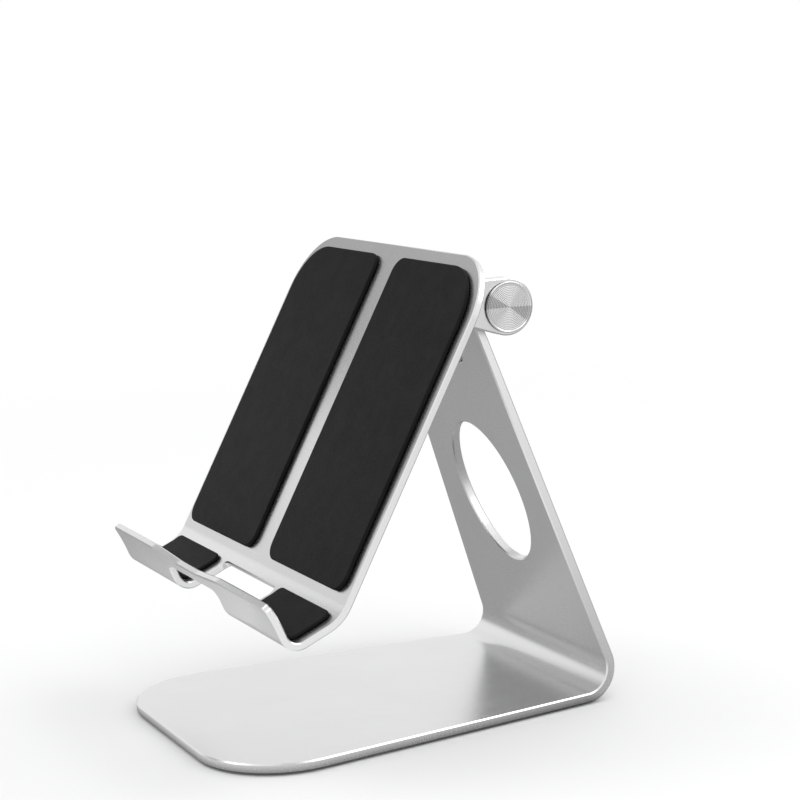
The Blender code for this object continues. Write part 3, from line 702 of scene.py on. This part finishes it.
def caps():
    """The turned end caps: a plug, a rounded rim and a dished face with fine concentric cuts."""
    plug = RECESS_RADIUS - GAP
    back = CAP_FACE - CAP_DEPTH
    seat = EAR_OUTER + CAP_STANDS_OFF
    face = CAP_FACE - CAP_DISH
    inner = CAP_RADIUS - CAP_RIM
    rim = CAP_RIM / 2
    profile = [
        (back, 0),
        (back, plug),
        (seat, plug),
        (seat, CAP_RADIUS - CAP_BREAK),
        (seat + CAP_BREAK, CAP_RADIUS),
    ]
    profile += [(CAP_FACE - rim + p.y, CAP_RADIUS - rim + p.x) for p in arc(rim, 0, pi / 2, steps=14)]
    grooves = int(inner / GROOVE_PITCH)
    profile += [(face, inner), (face, grooves * GROOVE_PITCH)]
    for k in range(grooves, 0, -1):
        profile.append((face - GROOVE_DEPTH, (k - 0.5) * GROOVE_PITCH))
        profile.append((face, (k - 1) * GROOVE_PITCH))
    for side, sign in SIDES:
        piece = new_object(f"cap_{side}", turned_mesh(profile), hinge_side(sign))
        for polygon in piece.data.polygons:
            offset = polygon.center - HINGE
            behind_face = abs(offset.x) < face - GROOVE_DEPTH
            on_rim = offset.length ** 2 > face ** 2 + inner ** 2
            polygon.material_index = int(behind_face or on_rim)
        finish_piece(piece, "tray", [spun, bright], f"end_cap_{side}",
                     CAP_SHARP_ABOVE)


def tray_sheet():
    """The tray, with its wavy lip, cable slot, screw holes and cut edges."""
    tip = TRAY_LENGTH
    dip = tip - LIP_DIP
    blank = rounded([
        (-TRAY_HALF_WIDTH, 0, TRAY_CORNER),
        (TRAY_HALF_WIDTH, 0, TRAY_CORNER),
        (TRAY_HALF_WIDTH, tip, LIP_CORNER),
        (DIP_OUTER, tip, DIP_ROUND),
        (DIP_INNER, dip, DIP_ROUND),
        (-DIP_INNER, dip, DIP_ROUND),
        (-DIP_OUTER, tip, DIP_ROUND),
        (-TRAY_HALF_WIDTH, tip, LIP_CORNER),
    ], 2 * CORNER_STEPS)
    slot_end = tip - SLOT_IN_LIP
    slot_start = slot_end - SLOT_LENGTH
    slot = rectangle(-SLOT_HALF_WIDTH, SLOT_HALF_WIDTH, slot_start, slot_end, SLOT_CORNER, steps=12)
    screws = [
        ellipse(sign * TRAY_SCREW_X, TRAY_ABOVE - up, SCREW_HOLE, SCREW_HOLE, SCREW_STEPS)
        for up in TRAY_SCREW_ROWS for _, sign in SIDES
    ]
    mesh = tray_folded(plate_mesh([blank, slot, *screws], TRAY_SHEET, TRAY_EDGE))
    piece = new_object("tray_sheet", mesh)
    finish_piece(piece, "tray", [blasted, bright], "tray_plate")


def pads():
    """Silicone on the tray's face and in its hooks, with soft edges."""
    top, bottom = PAD_INSET, TRAY_ABOVE + TRAY_BELOW - PAD_ENDS_ABOVE
    start, end = bottom + PAD_TO_HOOK_PAD, TRAY_LENGTH - HOOK_PAD_FROM_TIP
    for side, sign in SIDES:
        inner, outer = sign * PAD_SPLIT, sign * (TRAY_HALF_WIDTH - PAD_INSET)
        outline = rounded([
            (inner, top, PAD_CORNER),
            (outer, top, TRAY_CORNER - PAD_INSET),
            (outer, bottom, PAD_CORNER),
            (inner, bottom, PAD_CORNER),
        ])
        pad(f"pad_back_{side}", outline, PAD_THICK, f"back_pad_{side}")
        inner = sign * (SLOT_HALF_WIDTH + PAD_INSET)
        outline = rectangle(inner, outer, start, end, HOOK_PAD_CORNER)
        pad(f"pad_hook_{side}", outline, HOOK_PAD_THICK, f"hook_pad_{side}")


def pad(name, outline, thickness, replaced):
    """One pad, folded with the tray. It has one material, so its edges don't take the second."""
    mesh = plate_mesh([outline], thickness, PAD_EDGE, edge_steps=3)
    mesh.transform(Matrix.Translation((0, 0, -TRAY_SHEET / 2 - GAP - thickness / 2)))
    for polygon in mesh.polygons:
        polygon.material_index = 0
    finish_piece(new_object(name, tray_folded(mesh)), "tray", [black], replaced)


def carried_over():
    """The hinge's inner pieces and the screws keep their CAD shapes and take better materials."""
    finishes = {"steel": steel, "nylon": plastic}
    for subpart in frame["record"]["subparts"]:
        made = finishes.get(subpart["material_slot"])
        if made is None:
            continue
        mesh = frame["nodes"][subpart["node"]].data
        mesh.materials.clear()
        mesh.materials.append(made)


# The studio

def camera():
    back = Vector((sin(AZIMUTH) * cos(ELEVATION), -cos(AZIMUTH) * cos(ELEVATION), sin(ELEVATION)))
    right = Vector((cos(AZIMUTH), sin(AZIMUTH), 0))
    up = back.cross(right)
    rolled_right = right * cos(ROLL) + up * sin(ROLL)
    rolled_up = up * cos(ROLL) - right * sin(ROLL)
    lens = bpy.data.cameras.new("camera")
    lens.lens = LENS
    lens.sensor_width = SENSOR
    lens.clip_start, lens.clip_end = CLIP
    placed = bpy.data.objects.new("camera", lens)
    placed.matrix_world = frame_at(CAMERA_AT, rolled_right, rolled_up, back)
    bpy.context.scene.collection.objects.link(placed)
    bpy.context.scene.camera = placed


def softbox(name, place, aim, side, watts):
    light = bpy.data.lights.new(name, "AREA")
    light.shape = "SQUARE"
    light.size = side
    light.energy = watts
    lamp = bpy.data.objects.new(name, light)
    lamp.location = place
    lamp.rotation_euler = (Vector(aim) - Vector(place)).to_track_quat("-Z", "Y").to_euler()
    bpy.context.scene.collection.objects.link(lamp)


def bounced(made, path, first):
    """The light left at a ray's depth. first is the depth of a ray on its first bounce."""
    return made.spread(path.outputs["Ray Depth"], 1.0, SECOND_BOUNCE, first, first + 1)


def sky():
    """A pale studio all round, with a grey panel at the left and another behind."""
    world = bpy.data.worlds.new("studio")
    bpy.context.scene.world = world
    world.use_nodes = True
    made = Nodes(world.node_tree)
    painted, output = made.tree.nodes["Background"], made.tree.nodes["World Output"]
    way = made.add("ShaderNodeTexCoord").outputs["Generated"]
    light = made.spread(made.along(way, (0, 0, 1)), *SKY_LEVELS, *SKY_HEIGHTS)
    for direction, full, end, left in PANELS:
        near = made.along(way, Vector(direction).normalized())
        light = made.math("MULTIPLY", light, made.spread(near, 1.0, left, cos(end), cos(full)))
    path = made.add("ShaderNodeLightPath")
    # The sky counts one bounce more than a surface does
    made.link(made.math("MULTIPLY", light, bounced(made, path, 2)), painted, "Strength")
    white = made.add("ShaderNodeBackground")
    for background in (painted, white):
        background.inputs["Color"].default_value = (1, 1, 1, 1)
    seen = made.add("ShaderNodeMixShader")
    made.link(path.outputs["Is Camera Ray"], seen, 0)
    made.link(painted.outputs[0], seen, 1)
    made.link(white.outputs[0], seen, 2)
    made.link(seen.outputs[0], output, 0)


def floor():
    """A pale floor that fades into the backdrop. Gloss sees it dimmer left, behind and close by."""
    mesh = bpy.data.meshes.new("floor")
    work = bmesh.new()
    bmesh.ops.create_circle(work, cap_ends=True, segments=96, radius=FLOOR_RADIUS)
    work.to_mesh(mesh)
    work.free()
    ground = new_object("floor", mesh)
    made = Material("floor")
    made.shader.inputs["Base Color"].default_value = (*FLOOR_COLOUR, 1)
    made.shader.inputs["Roughness"].default_value = 0.85
    made.shader.inputs["Specular IOR Level"].default_value = 0.1
    path = made.add("ShaderNodeLightPath")
    place = made.place()
    distance = made.add("ShaderNodeVectorMath", operation="LENGTH")
    made.link(place, distance, 0)
    backdrop = made.add("ShaderNodeEmission")
    far = made.add("ShaderNodeMixShader")
    made.link(made.spread(distance.outputs["Value"], 0, 1, *FLOOR_FADE), far, 0)
    made.link(made.shader.outputs[0], far, 1)
    made.link(backdrop.outputs[0], far, 2)
    glow = made.add("ShaderNodeEmission")
    glossy = made.spread(made.along(place, FLOOR_BRIGHTENS), *FLOOR_GLOW, *FLOOR_GLOW_ACROSS)
    glossy = made.math("MULTIPLY", glossy, bounced(made, path, 1))
    close = made.spread(path.outputs["Ray Length"], FLOOR_CLOSE, 1, *FLOOR_CLOSE_ACROSS)
    made.link(made.math("MULTIPLY", glossy, close), glow, "Strength")
    seen = made.add("ShaderNodeMixShader")
    made.link(path.outputs["Is Glossy Ray"], seen, 0)
    made.link(far.outputs[0], seen, 1)
    made.link(glow.outputs[0], seen, 2)
    made.link(seen.outputs[0], made.tree.nodes["Material Output"], 0)
    mesh.materials.append(made.material)


def card():
    """A grey card beside the stand that only reflections see. It gives the tray's face its tone."""
    (front, behind), (low, high) = CARD_Y, CARD_Z
    corners = [(front, low), (behind, low), (behind, high), (front, high)]
    mesh = bpy.data.meshes.new("card")
    mesh.from_pydata([(CARD_X, y, z) for y, z in corners], [], [(0, 1, 2, 3)])
    held = new_object("card", mesh)
    made = Material("card")
    glow = made.add("ShaderNodeEmission")
    glow.inputs["Strength"].default_value = CARD_GLOW
    made.link(glow.outputs[0], made.tree.nodes["Material Output"], 0)
    mesh.materials.append(made.material)
    held.visible_camera = held.visible_diffuse = held.visible_transmission = held.visible_shadow = False


def studio():
    bpy.context.scene.view_settings.view_transform = "Standard"
    sky()
    floor()
    card()
    for box in SOFTBOXES:
        softbox(*box)


blasted, bright, spun = blasted_aluminium(), cut_edge(), turned_aluminium()
black, steel, plastic = silicone(), zinc_steel(), nylon()
camera()
studio()
base_sheet()
feet()
barrel()
tray_yoke()
caps()
tray_sheet()
pads()
carried_over()
bpy.context.view_layer.update()
